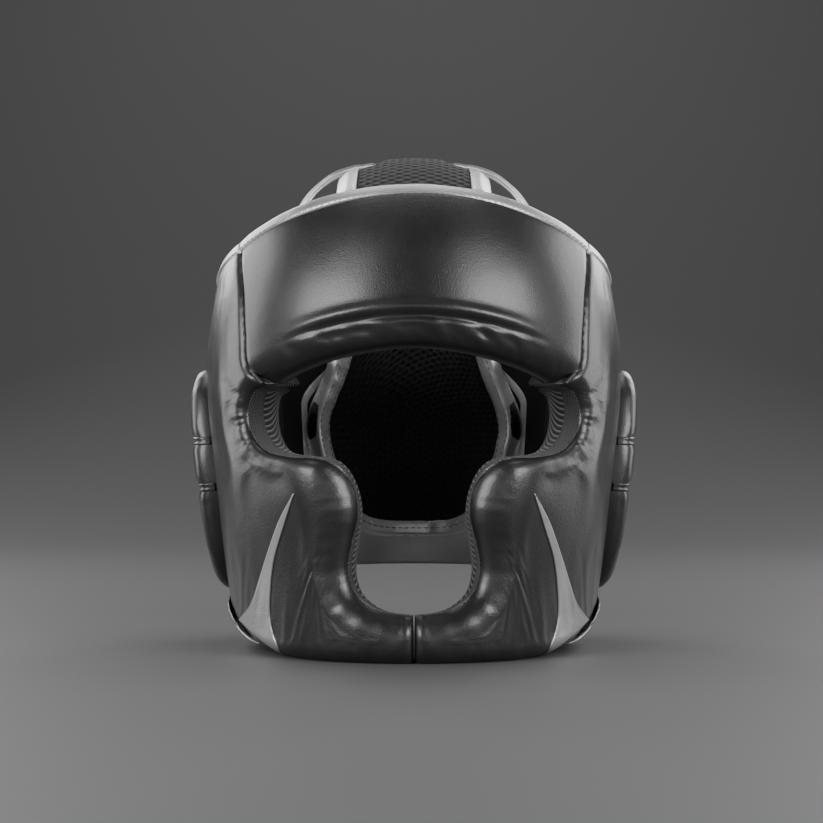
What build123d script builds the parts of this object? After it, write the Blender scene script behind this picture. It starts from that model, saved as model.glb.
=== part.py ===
"""Full-face boxing headgear: padded forehead, cheeks and chin bar, ear guards, a tongue that runs
over the crown to the nape, and a back that opens with a hook-and-loop strap.

Millimetres, +Z up, the wearer looks along -Y and +X is the wearer's left. The origin is on the
surface that the headgear stands on, under the middle of the head. Every padded part lies on one
head form, the surface of the cavity, and is placed by its turn from the front in degrees, its
height, and its lift off that form.
"""

from build123d import *
import os
from math import atan2, cos, radians, sin, sqrt

os.makedirs("parts", exist_ok=True)

# Head form, which is the surface of the cavity
CAVITY_HALF_WIDTH = 90.0
CAVITY_FRONT = 95.0
CAVITY_BACK = 100.0
CAVITY_TOP = 268.0
WIDEST_Z = 150.0
DOME_POWER = 2.4
JAW_TAPER = 20.0
CHIN_TAPER = 4.0
NAPE_TAPER = 14.0

# Thicknesses and lifts
PAD = 32.0
SKIN = 1.5
GAP = 0.3
TONGUE = 12.0
WING_IN = 13.5
WING_OUT = 24.6
EAR_ROLL = 12.5
BAND = 2.4
PATCH = 0.8
SEAM_GAP = 0.8

# Forehead and sides, (turn, height) on the head form
TOP_Z = 237.5
TOP_DROP = 21.0
SEAM_TOP_TURN = 64.0
BINDING = 4.5
BROW_Z = 169.0
BROW_DROP = 17.0
REAR_TURN = 118.0
SEAM = [(45.5, 150.4), (49.6, 163.0), (51.3, 178.0), (55.5, 197.0), (64.0, 216.5)]
OPENING = [
    (49.0, 146.0), (50.5, 136.0), (48.6, 125.5), (43.0, 116.5), (34.0, 112.6), (25.0, 111.6),
    (19.0, 106.0), (15.4, 94.0), (14.6, 80.0), (16.8, 66.0), (18.4, 52.0), (16.4, 39.5),
    (9.5, 30.5), (0.3, 27.7),
]
RIM = [
    (118.0, 193.0), (118.0, 175.0), (118.0, 158.0), (118.0, 141.0), (118.0, 124.0), (118.0, 107.0),
    (118.0, 90.0), (118.0, 72.0), (116.0, 54.0), (110.0, 38.0), (100.0, 29.0), (88.0, 23.5),
    (76.0, 17.0), (64.0, 10.5), (52.0, 5.5), (40.0, 2.5), (27.0, 0.9), (13.5, 0.2), (0.3, 0.0),
]
SIDE_COLUMNS = 55

# Ear guard, (along Y, height) of its centre and its half sizes
EAR_CENTRE = (26.0, 96.0)
EAR_HALF = (31.5, 65.0)
EAR_HOLE = (11.0, 36.0)
EAR_VENT = (9.0, 22.0)
EAR_BAND_HEIGHTS = (119.0, 92.0)
EAR_BAND_WIDTH = 4.0

# Neck band, lower and upper edge
NECK_LOW = [(84.0, 8.5), (92.0, 7.0), (100.0, 6.6), (107.0, 8.5), (112.0, 15.5), (116.6, 26.0)]
NECK_HIGH = [(84.0, 34.0), (92.0, 34.0), (100.0, 34.6), (107.0, 38.5), (112.0, 46.5), (116.6, 57.0)]

# Tongue: half width at even steps from the forehead (0) over the crown to the nape (1)
TONGUE_WIDTHS = [(38.0,), (38.0,), (38.0,), (38.0,), (39.5,), (46.5,), (59.0,), (57.5,), (48.0,)]
CROWN_SHARE = 0.69
TONGUE_FRONT_Z = 244.5
TONGUE_END_Z = 62.0
TONGUE_CORNER = 24.0
TONGUE_EDGE = 5.0
FRONT_EDGE = 0.02
REAR_EDGE = 0.02
TRIM_TOP = TONGUE + GAP + PATCH
CROWN_MESH_END = 0.43
CROWN_TRIM_RUN = (0.015, 0.37)

# Back: wings, closure strap, crown straps
WING_TURNS = (119.8, 138.6)
WING_EDGE_TURNS = (138.9, 141.0)
WING_HEIGHTS = (44.0, 180.0)
STRAP_HEIGHTS = (43.0, 80.0)
STRAP_TURNS = (142.2, 235.0)
CROWN_STRAP_TURNS = (70.0, 88.0)
CROWN_STRAP_X = 20.0
CROWN_LOOP_ENDS = (0.0, 0.085)
CROWN_HOOK_ENDS = (0.008, 0.08)
CROWN_STRAP_LIFT = 1.4


def girth(z):
    """Half width, half depth and middle along Y of the head form at height z, under its dome."""
    below = max(0.0, (WIDEST_Z - z) / WIDEST_Z)
    front = CAVITY_FRONT - CHIN_TAPER * below**2
    back = CAVITY_BACK - NAPE_TAPER * below**2
    return CAVITY_HALF_WIDTH - JAW_TAPER * below**1.4, (front + back) / 2, (back - front) / 2


def rise(z):
    """How far z is up the dome, from 0 at the widest height to 1 at the top."""
    return max(0.0, (z - WIDEST_Z) / (CAVITY_TOP - WIDEST_Z))


def dome(z):
    """Share of the full girth that is left at height z."""
    return (1 - rise(z) ** DOME_POWER) ** (1 / DOME_POWER)


def form_value(point):
    """Zero on the head form, positive outside it."""
    width, depth, middle = girth(point.Z)
    reach = sqrt((point.X / width) ** 2 + ((point.Y - middle) / depth) ** 2)
    return reach**DOME_POWER + rise(point.Z) ** DOME_POWER - 1


def lifted(point, lift):
    """The point that stands lift off the head form, straight out from a point on it."""
    step = 0.01
    axes = (Vector(1, 0, 0), Vector(0, 1, 0), Vector(0, 0, 1))
    slope = [form_value(point + axis * step) - form_value(point - axis * step) for axis in axes]
    return point + Vector(*slope).normalized() * lift


def at_turn(turn, z):
    """Point of the head form at a turn from the front and a height."""
    width, depth, middle = girth(z)
    angle = radians(turn)
    return Vector(dome(z) * width * sin(angle), middle - dome(z) * depth * cos(angle), z)


def on_dome(x, y):
    """Point of the head form's dome over a place in plan."""
    width, depth, middle = girth(WIDEST_Z)
    reach = sqrt((x / width) ** 2 + ((y - middle) / depth) ** 2)
    up = (1 - min(1.0, reach) ** DOME_POWER) ** (1 / DOME_POWER)
    return Vector(x, y, WIDEST_Z + (CAVITY_TOP - WIDEST_Z) * up)


def steps(count):
    return [i / (count - 1) for i in range(count)]


def mix(a, b, share):
    return a + (b - a) * share


def along(knots, share):
    """Point of the smooth curve through the knots, which it meets at even steps of share."""
    place = share * (len(knots) - 1)
    first = min(int(place), len(knots) - 2)
    t = place - first
    before, a, b, after = (knots[max(0, min(i, len(knots) - 1))] for i in range(first - 1, first + 3))
    return tuple(
        0.5 * (2 * q + (r - p) * t + (2 * p - 5 * q + 4 * r - s) * t**2 + (3 * q - p - 3 * r + s) * t**3)
        for p, q, r, s in zip(before, a, b, after)
    )


def layer(grid, low, high, mode=Mode.ADD):
    """Solid between two lifts over a grid of points of the head form."""
    face = Face.make_surface_from_array_of_points(
        [[lifted(p, low) for p in row] for row in grid], tol=0.06, min_deg=3, max_deg=5
    )
    middle = grid[len(grid) // 2][len(grid[0]) // 2]
    outward = lifted(middle, 1.0) - middle
    turned = 1 if face.normal_at(lifted(middle, low)).dot(outward) > 0 else -1
    thicken(face, amount=turned * (high - low), mode=mode)


def edge_wall(curve, low, high):
    """Strip of lining that lines the edge of a pad between two lifts, along a curve of (turn,
    height) points, on the open side of that edge."""
    lifts = [mix(low, high, share) for share in steps(4)]
    columns = []
    for share in steps(41):
        edge = at_turn(*curve(share))
        aside = open_side(curve, share)
        columns.append([lifted(edge, lift) + aside * GAP for lift in lifts])
    face = Face.make_surface_from_array_of_points(columns, tol=0.06, min_deg=3, max_deg=5)
    turned = 1 if face.normal_at(columns[20][1]).dot(open_side(curve, 0.5)) > 0 else -1
    thicken(face, amount=turned * SKIN)


def open_side(curve, share):
    """Direction from the edge of a pad to its open side, along the head form."""
    edge = at_turn(*curve(share))
    ahead = at_turn(*curve(min(1.0, share + 0.004))) - at_turn(*curve(max(0.0, share - 0.004)))
    return ahead.cross(lifted(edge, 1.0) - edge).normalized()


def top_z(turn):
    """Height of the top edge of the forehead and the sides."""
    return TOP_Z - TOP_DROP * (abs(turn) / SEAM_TOP_TURN) ** 2.1


def side_top_z(turn):
    """Height of the side pad's top edge, which falls in a straight line from the seam."""
    return mix(SEAM[-1][1], RIM[0][1], (turn - SEAM_TOP_TURN) / (REAR_TURN - SEAM_TOP_TURN))


def brow_z(turn):
    """Height of the lower edge of the forehead pad."""
    return BROW_Z - BROW_DROP * (abs(turn) / 43.0) ** 1.8


def forehead_grid():
    """The forehead pad, from seam to seam and from brow to top."""
    rows = []
    for share in steps(9):
        turn, z = along(SEAM, share)
        up = (z - brow_z(turn)) / (top_z(turn) - brow_z(turn))
        half = turn - SEAM_GAP / 4
        turns = [half * (2 * across - 1) for across in steps(21)]
        rows.append([at_turn(t, mix(brow_z(t), top_z(t), up)) for t in turns])
    return rows


def side_grid():
    """The wearer's left side pad, from the face opening out to its rim."""
    seam = [(turn + SEAM_GAP / 4, z) for turn, z in reversed(SEAM)]
    rows = []
    for across in steps(12):
        row = []
        for down in steps(SIDE_COLUMNS):
            inner_turn, inner_z = along(seam + OPENING, down)
            outer_turn, outer_z = along(RIM, down)
            turn = mix(inner_turn, outer_turn, across)
            row.append(at_turn(turn, mix(inner_z, outer_z, across)))
        rows.append(row)
    return rows


def edge_grid(low_turn, high_turn, low_z, high_z, columns=25):
    """A band between two turns, whose lower and upper heights are functions of the turn."""
    turns = [mix(low_turn, high_turn, share) for share in steps(columns)]
    return [[at_turn(t, mix(low_z(t), high_z(t), up)) for t in turns] for up in steps(6)]


def block_grid(turns, heights, inset=0.0, columns=15):
    low, high = heights[0] + inset, heights[1] - inset
    return edge_grid(turns[0] + inset / 2, turns[1] - inset / 2, lambda t: low, lambda t: high, columns)


def tongue_point(share, x):
    """Point of the tongue at x, from the forehead (0) over the crown to the nape (1)."""
    width, depth, middle = girth(WIDEST_Z)
    aside = x / width
    if share <= CROWN_SHARE:
        start = -atan2(sqrt(dome(TONGUE_FRONT_Z) ** 2 - aside**2), rise(TONGUE_FRONT_Z))
        angle = mix(start, radians(90), share / CROWN_SHARE)
        up = max(0.0, cos(angle))
        reach = 1.0
        for _ in range(15):
            flat = sqrt((aside / reach) ** 2 + sin(angle) ** 2)
            reach = (flat**DOME_POWER + up**DOME_POWER) ** (-1 / DOME_POWER)
        height = (CAVITY_TOP - WIDEST_Z) * reach * up
        return Vector(x, middle + depth * reach * sin(angle), WIDEST_Z + height)
    down = (share - CROWN_SHARE) / (1 - CROWN_SHARE)
    corner = TONGUE_CORNER * (abs(x) / 48.0) ** 4 * down**2
    z = mix(WIDEST_Z, TONGUE_END_Z, down) + corner
    width, depth, middle = girth(z)
    return Vector(x, middle + depth * sqrt(1 - (x / width) ** 2), z)


def tongue_grid(start, end, left, right):
    """A part of the tongue's run; left and right give its edges from the tongue's half width."""
    rows = []
    for part in steps(25):
        share = mix(start, end, part)
        (half,) = along(TONGUE_WIDTHS, share)
        rows.append([tongue_point(share, mix(left(half), right(half), c)) for c in steps(11)])
    return rows


def crown_strap_grid(ends, turns):
    """The left crown strap: ends are its inner and outer places along its run, 0 on the tongue and
    1 at its foot over the side binding, and turns are where its edges come down."""
    rows = []
    for across in steps(5):
        turn = mix(*turns, across)
        foot = at_turn(turn, side_top_z(turn) + BINDING + CROWN_STRAP_LIFT)
        places = [mix(*ends, share) for share in steps(13)]
        rows.append([on_dome(mix(CROWN_STRAP_X, foot.X, sin(radians(90 * p))), foot.Y) for p in places])
    return rows


def ear_column(half, hole=None, mode=Mode.INTERSECT):
    """Keeps or cuts the oval column that stands out sideways from the left ear."""
    with BuildSketch(Plane.YZ.offset(40)) as oval:
        with Locations(EAR_CENTRE):
            Ellipse(*half)
            if hole:
                Ellipse(*hole, mode=Mode.SUBTRACT)
    extrude(oval.sketch, amount=120, mode=mode)


def save(name, piece):
    piece.label = name
    export_step(piece, f"parts/{name}.step")


def save_pair(name, piece):
    """Writes the wearer's left piece and its mirror image for the right."""
    save(f"left_{name}", piece)
    save(f"right_{name}", mirror(piece, about=Plane.YZ))


def floor_cut():
    """Takes off what would reach under the surface that the headgear stands on."""
    with Locations((0, 0, -25)):
        Box(400, 400, 50, mode=Mode.SUBTRACT)


# Forehead: a foam core with a cover outside and a lining on the head side, bound along its top
with BuildPart() as forehead_cover:
    layer(forehead_grid(), PAD - SKIN, PAD)
save("forehead_cover", forehead_cover.part)

with BuildPart() as forehead_foam:
    layer(forehead_grid(), SKIN + GAP, PAD - SKIN - GAP)
save("forehead_foam", forehead_foam.part)

with BuildPart() as forehead_lining:
    layer(forehead_grid(), 0, SKIN)
save("forehead_lining", forehead_lining.part)

with BuildPart() as forehead_binding:
    turn = SEAM_TOP_TURN - SEAM_GAP / 2
    layer(edge_grid(-turn, turn, lambda t: top_z(t) + GAP, lambda t: top_z(t) + GAP + BINDING, 31), 0, PAD)
save("forehead_binding", forehead_binding.part)

with BuildPart() as brow_edge:
    edge_wall(lambda share: (mix(-43.0, 43.0, share), brow_z(mix(-43.0, 43.0, share))), SKIN, PAD - SKIN)
save("brow_edge", brow_edge.part)

# Side pads: temple, cheek and half of the chin bar in one piece, open at the ear
with BuildPart() as side_cover:
    layer(side_grid(), PAD - SKIN, PAD)
    ear_column(EAR_VENT, mode=Mode.SUBTRACT)
    floor_cut()
save_pair("side_cover", side_cover.part)

with BuildPart() as side_foam:
    layer(side_grid(), SKIN + GAP, PAD - SKIN - GAP)
    ear_column(EAR_VENT, mode=Mode.SUBTRACT)
    floor_cut()
save_pair("side_foam", side_foam.part)

with BuildPart() as side_lining:
    layer(side_grid(), 0, SKIN)
    ear_column(EAR_VENT, mode=Mode.SUBTRACT)
    floor_cut()
save_pair("side_lining", side_lining.part)


with BuildPart() as face_edge:
    edge_wall(lambda share: along(OPENING, share), SKIN, PAD - SKIN)
save_pair("face_edge", face_edge.part)

with BuildPart() as side_binding:
    span = (SEAM_TOP_TURN + SEAM_GAP / 2, REAR_TURN)
    layer(edge_grid(*span, lambda t: side_top_z(t) + GAP, lambda t: side_top_z(t) + GAP + BINDING), 0, PAD)
save_pair("side_binding", side_binding.part)

# Cheek accent: a tapered blade of silver trim that widens towards the jaw
with BuildPart() as accent:
    layer(block_grid((20.0, 84.0), (-4.0, 110.0)), PAD + GAP, PAD + GAP + PATCH)
    with BuildSketch(Plane.XZ):
        with BuildLine():
            front = Spline((65.0, 91.5), (76.5, 50.0), (73.0, 3.0))
            Line(front @ 1, (98.5, 12.5))
            Spline((98.5, 12.5), (84.0, 52.0), (65.0, 91.5))
        make_face()
    extrude(amount=150, mode=Mode.INTERSECT)
save_pair("cheek_accent", accent.part)

# Ear guard: a padded oval roll round a mesh vent, crossed by two narrow bands
ear_patch = block_grid((76.0, 126.0), (15.0, 178.0))
roll_low, roll_high = PAD + GAP, PAD + GAP + EAR_ROLL
with BuildPart() as ear_cover:
    layer(ear_patch, roll_high - SKIN, roll_high)
    ear_column(EAR_HALF, EAR_HOLE)
save_pair("ear_cover", ear_cover.part)

with BuildPart() as ear_foam:
    layer(ear_patch, roll_low, roll_high - SKIN - GAP)
    ear_column(EAR_HALF, EAR_HOLE)
save_pair("ear_foam", ear_foam.part)

with BuildPart() as ear_mesh:
    layer(ear_patch, PAD + GAP, PAD + GAP + SKIN)
    ear_column([h - GAP for h in EAR_HOLE])
save_pair("ear_mesh", ear_mesh.part)

with BuildPart() as ear_bands:
    layer(ear_patch, roll_high + GAP, roll_high + GAP + PATCH)
    ear_column(EAR_HALF)
    with BuildPart(mode=Mode.PRIVATE) as bars:
        with Locations(*((80, EAR_CENTRE[0], z) for z in EAR_BAND_HEIGHTS)):
            Box(160, 3 * EAR_HALF[0], EAR_BAND_WIDTH)
    add(bars.part, mode=Mode.INTERSECT)
save_pair("ear_bands", ear_bands.part)

# Neck band: silver trim from the jaw to the hinge of the wing, whose lower edge carries the back
with BuildPart() as neck_band:
    columns = [(along(NECK_LOW, share), along(NECK_HIGH, share)) for share in steps(19)]
    rows = [[at_turn(a[0], mix(a[1], b[1], up)) for a, b in columns] for up in steps(6)]
    layer(rows, PAD + GAP, PAD + GAP + BAND)
    floor_cut()
save_pair("neck_band", neck_band.part)

# Tongue: from the forehead over the crown to the nape, mesh lined and bound with silver all round
core = (lambda half: -half + TONGUE_EDGE + GAP, lambda half: half - TONGUE_EDGE - GAP)
for part, run in {
    "crown": (FRONT_EDGE + 0.002, CROWN_MESH_END),
    "tongue": (CROWN_MESH_END + 0.002, 1 - REAR_EDGE - 0.002),
}.items():
    with BuildPart() as tongue_lining:
        layer(tongue_grid(*run, *core), GAP, GAP + SKIN)
    save(f"{part}_lining", tongue_lining.part)

    with BuildPart() as tongue_foam:
        layer(tongue_grid(*run, *core), 2 * GAP + SKIN, TONGUE - 2 * GAP - SKIN)
    save(f"{part}_foam", tongue_foam.part)

    with BuildPart() as tongue_cover:
        layer(tongue_grid(*run, *core), TONGUE - GAP - SKIN, TONGUE - GAP)
    save(f"{part}_cover", tongue_cover.part)

with BuildPart() as tongue_side_binding:
    layer(tongue_grid(0, 1, lambda half: half - TONGUE_EDGE, lambda half: half), 0, TONGUE)
save_pair("tongue_binding", tongue_side_binding.part)

with BuildPart() as tongue_front_binding:
    layer(tongue_grid(0, FRONT_EDGE, *core), 0, TONGUE)
save("tongue_front_binding", tongue_front_binding.part)

with BuildPart() as tongue_rear_binding:
    layer(tongue_grid(1 - REAR_EDGE, 1, *core), 0, TONGUE)
save("tongue_rear_binding", tongue_rear_binding.part)

with BuildPart() as crown_trim:
    layer(tongue_grid(*CROWN_TRIM_RUN, lambda half: 29.5, lambda half: 37.8), TONGUE + GAP, TRIM_TOP)
save_pair("crown_trim", crown_trim.part)

# Crown straps: each is sewn above the side pad and grips a loop patch on the tongue
with BuildPart() as crown_loop:
    layer(crown_strap_grid(CROWN_LOOP_ENDS, CROWN_STRAP_TURNS), TONGUE + GAP, TONGUE + GAP + PATCH)
save_pair("crown_loop", crown_loop.part)

hook_low = TONGUE + 2 * GAP + PATCH
with BuildPart() as crown_hook:
    layer(crown_strap_grid(CROWN_HOOK_ENDS, (71.0, 87.0)), hook_low, hook_low + PATCH)
save_pair("crown_hook", crown_hook.part)

strap_low = hook_low + PATCH + GAP
with BuildPart() as crown_strap:
    layer(crown_strap_grid((0.0, 1.0), CROWN_STRAP_TURNS), strap_low, strap_low + BAND)
save_pair("crown_strap", crown_strap.part)

# Wings: thinner pads behind the ears, with a bound rear edge
with BuildPart() as wing_cover:
    layer(block_grid(WING_TURNS, WING_HEIGHTS), WING_OUT - SKIN, WING_OUT)
save_pair("wing_cover", wing_cover.part)

with BuildPart() as wing_foam:
    layer(block_grid(WING_TURNS, WING_HEIGHTS), WING_IN + SKIN + GAP, WING_OUT - SKIN - GAP)
save_pair("wing_foam", wing_foam.part)

with BuildPart() as wing_lining:
    layer(block_grid(WING_TURNS, WING_HEIGHTS), WING_IN, WING_IN + SKIN)
save_pair("wing_lining", wing_lining.part)

with BuildPart() as wing_binding:
    layer(block_grid(WING_EDGE_TURNS, WING_HEIGHTS, columns=5), WING_IN, WING_OUT)
save_pair("wing_binding", wing_binding.part)

# Closure: the strap is sewn to the left wing and grips a loop patch on the right one
with BuildPart() as closure_anchor:
    layer(block_grid((121.0, 140.6), STRAP_HEIGHTS), WING_OUT + GAP, WING_OUT + GAP + BAND)
save("closure_anchor", closure_anchor.part)

with BuildPart() as closure_loop:
    layer(block_grid((-139.5, -122.5), STRAP_HEIGHTS), WING_OUT + GAP, WING_OUT + GAP + PATCH)
save("closure_loop", closure_loop.part)

hook_low = WING_OUT + 2 * GAP + PATCH
with BuildPart() as closure_hook:
    layer(block_grid((221.5, 234.0), STRAP_HEIGHTS, 1.5), hook_low, hook_low + PATCH)
save("closure_hook", closure_hook.part)

strap_low = hook_low + PATCH + GAP
with BuildPart() as closure_strap:
    layer(block_grid(STRAP_TURNS, STRAP_HEIGHTS, columns=31), strap_low, strap_low + BAND)
save("closure_strap", closure_strap.part)
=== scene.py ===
"""Full-face boxing headgear in black and silver leather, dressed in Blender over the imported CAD
frame. Every pad is a closed mesh on the same head form as the CAD, in metres."""

import math
import random

import bpy
import numpy as np
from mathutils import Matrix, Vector
from mathutils.bvhtree import BVHTree


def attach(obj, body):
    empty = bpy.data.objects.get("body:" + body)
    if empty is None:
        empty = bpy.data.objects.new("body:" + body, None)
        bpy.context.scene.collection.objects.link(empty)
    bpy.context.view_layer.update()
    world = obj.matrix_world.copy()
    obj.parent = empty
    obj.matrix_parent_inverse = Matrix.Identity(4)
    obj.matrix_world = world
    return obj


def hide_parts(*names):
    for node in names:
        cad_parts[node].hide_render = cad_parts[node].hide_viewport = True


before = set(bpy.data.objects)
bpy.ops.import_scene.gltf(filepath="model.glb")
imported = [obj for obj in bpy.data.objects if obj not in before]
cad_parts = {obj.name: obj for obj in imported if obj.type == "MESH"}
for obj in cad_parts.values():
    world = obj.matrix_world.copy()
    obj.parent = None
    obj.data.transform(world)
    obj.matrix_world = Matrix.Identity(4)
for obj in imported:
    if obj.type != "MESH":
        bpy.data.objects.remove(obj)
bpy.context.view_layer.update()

MM = 0.001

# The head form and the pads' outlines on it, as in the CAD model, in millimetres
HALF_WIDTH, FRONT, BACK, TOP, WIDEST = 90.0, 95.0, 100.0, 268.0, 150.0
POWER = 2.4
PAD = 32.0
TONGUE = 12.0
WING = (13.5, 24.6)
SEAM = [(44.2, 151.6), (49.6, 161.0), (51.4, 177.0), (55.5, 197.0), (64.0, 216.5)]
OPENING = [
    (49.6, 147.5), (52.2, 137.0), (50.6, 125.0), (44.6, 115.8), (35.5, 112.4), (26.5, 111.4),
    (21.0, 106.0), (17.4, 94.0), (16.6, 80.0), (18.6, 66.0), (20.2, 51.0), (17.9, 38.0),
    (10.2, 29.0), (0.3, 26.4),
]
RIM = [
    (118.0, 193.0), (118.0, 175.0), (118.0, 158.0), (118.0, 141.0), (118.0, 124.0), (118.0, 107.0),
    (118.0, 90.0), (118.0, 72.0), (116.0, 54.0), (110.0, 38.0), (100.0, 29.0), (88.0, 23.5),
    (76.0, 17.0), (64.0, 10.5), (52.0, 5.5), (40.0, 2.5), (27.0, 0.9), (13.5, 0.2), (0.3, 0.0),
]


# ---------------------------------------------------------------- head form

def girth(z):
    below = np.maximum(0.0, (WIDEST - z) / WIDEST)
    front = FRONT - 4.0 * below**2
    back = BACK - 14.0 * below**2
    return HALF_WIDTH - 20.0 * below**1.4, (front + back) / 2, (back - front) / 2


def rise(z):
    return np.maximum(0.0, (z - WIDEST) / (TOP - WIDEST))


def dome(z):
    return (1 - np.minimum(1.0, rise(z)) ** POWER) ** (1 / POWER)


def form_value(p):
    width, depth, middle = girth(p[..., 2])
    reach = np.sqrt((p[..., 0] / width) ** 2 + ((p[..., 1] - middle) / depth) ** 2)
    return reach**POWER + rise(p[..., 2]) ** POWER


def normals(p):
    """Unit normals of the head form at points on it."""
    slope = np.stack(
        [form_value(p + 0.01 * axis) - form_value(p - 0.01 * axis) for axis in np.eye(3)], axis=-1
    )
    return slope / np.linalg.norm(slope, axis=-1, keepdims=True)


def at_turn(turn, z):
    width, depth, middle = girth(z)
    angle = np.radians(turn)
    return np.stack(
        [dome(z) * width * np.sin(angle), middle - dome(z) * depth * np.cos(angle), z + 0 * angle],
        axis=-1,
    )


def on_dome(x, y):
    width, depth, middle = girth(WIDEST)
    reach = np.minimum(1.0, np.sqrt((x / width) ** 2 + ((y - middle) / depth) ** 2))
    z = WIDEST + (TOP - WIDEST) * (1 - reach**POWER) ** (1 / POWER)
    return np.stack([x + 0 * y, y + 0 * x, z], -1)


def mix(a, b, share):
    return a + (b - a) * share


def smooth(low, high, value):
    """0 under low, 1 over high, and an S curve between."""
    share = np.clip((value - low) / (high - low), 0, 1)
    return share * share * (3 - 2 * share)


def bell(value, centre, width, power=2):
    """1 at the centre, falling to nothing over a few widths."""
    return np.exp(-(((value - centre) / width) ** power))


def along(knots, share):
    """Points of the smooth curve through the knots, at shares of the way, as in the CAD model."""
    knots = np.array(knots, dtype=float)
    place = np.asarray(share, dtype=float) * (len(knots) - 1)
    first = np.clip(place.astype(int), 0, len(knots) - 2)
    t = (place - first)[..., None]
    p, q, r, s = (knots[np.clip(first + i, 0, len(knots) - 1)] for i in (-1, 0, 1, 2))
    square, cube = 2 * p - 5 * q + 4 * r - s, 3 * q - p - 3 * r + s
    return 0.5 * (2 * q + (r - p) * t + square * t**2 + cube * t**3)


# ---------------------------------------------------------------- mesh helpers

def make_object(name, points, faces, materials, face_materials=None, uvs=None):
    """Mesh object from points in millimetres; uvs are per point, in millimetres too."""
    mesh = bpy.data.meshes.new(name)
    points = np.array(points, dtype=float)
    points[:, 2] = np.maximum(points[:, 2], 0.0)
    mesh.from_pydata((points * MM).tolist(), [], faces)
    for material in materials:
        mesh.materials.append(material)
    if face_materials is not None:
        mesh.polygons.foreach_set("material_index", face_materials)
    if uvs is not None:
        layer = mesh.uv_layers.new(name="UVMap")
        loops = np.zeros(len(mesh.loops), dtype=int)
        mesh.loops.foreach_get("vertex_index", loops)
        layer.data.foreach_set("uv", (np.asarray(uvs)[loops] / 100.0).ravel())
    mesh.polygons.foreach_set("use_smooth", [True] * len(mesh.polygons))
    mesh.update()
    obj = bpy.data.objects.new(name, mesh)
    bpy.context.scene.collection.objects.link(obj)
    return obj


def read_points(mesh):
    """Places of a mesh's points, in metres."""
    points = np.zeros(len(mesh.vertices) * 3)
    mesh.vertices.foreach_get("co", points)
    return points.reshape(-1, 3)


def grid_quads(rows, columns):
    """Faces of a grid of points stored row by row."""
    corners = [r * columns + c for r in range(rows - 1) for c in range(columns - 1)]
    return [(i, i + 1, i + columns + 1, i + columns) for i in corners]


def grid_border(rows, columns):
    """Points round the edge of such a grid, in order."""
    last = (rows - 1) * columns
    return (
        list(range(columns)) + [r * columns + columns - 1 for r in range(1, rows)]
        + [last + c for c in range(columns - 2, -1, -1)] + [r * columns for r in range(rows - 2, 0, -1)]
    )


def arc_lengths(points, axis):
    """Distance along rows or columns of a grid of points, from its first line."""
    step = np.linalg.norm(np.diff(points, axis=axis), axis=-1)
    start = np.zeros_like(np.take(step, [0], axis=axis))
    return np.concatenate([start, np.cumsum(step, axis=axis)], axis=axis)


def edge_gap(points):
    """Distance from each point of a grid to the nearest of the grid's four edges."""
    down, across = arc_lengths(points, 0), arc_lengths(points, 1)
    return np.minimum(np.minimum(down, down[-1:] - down), np.minimum(across, across[:, -1:] - across))


def round_drop(distance, radius):
    """How far a rounded edge falls at a distance from it."""
    share = np.clip(1 - distance / np.maximum(radius, 1e-6), 0, 1)
    return radius * (1 - np.sqrt(1 - share**2))


def edge_shares(length, near, count, far):
    """Shares of a line of each length that stand at fixed distances from its ends."""
    length = np.asarray(length, dtype=float)[..., None]
    limit = length * 0.45
    low = np.minimum(np.array(near), limit * np.array(near) / near[-1]) / length
    high = 1 - np.minimum(np.array(far), limit * np.array(far) / far[-1])[..., ::-1] / length
    between = np.linspace(0, 1, count + 2)[1:-1]
    middle = low[..., -1:] + (high[..., :1] - low[..., -1:]) * between
    return np.concatenate([low, middle, high], axis=-1)


NEAR = (0.0, 0.35, 0.8, 1.4, 2.2, 3.2, 4.4, 5.8, 7.4, 9.2, 11.2, 13.4, 16.0)


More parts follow.
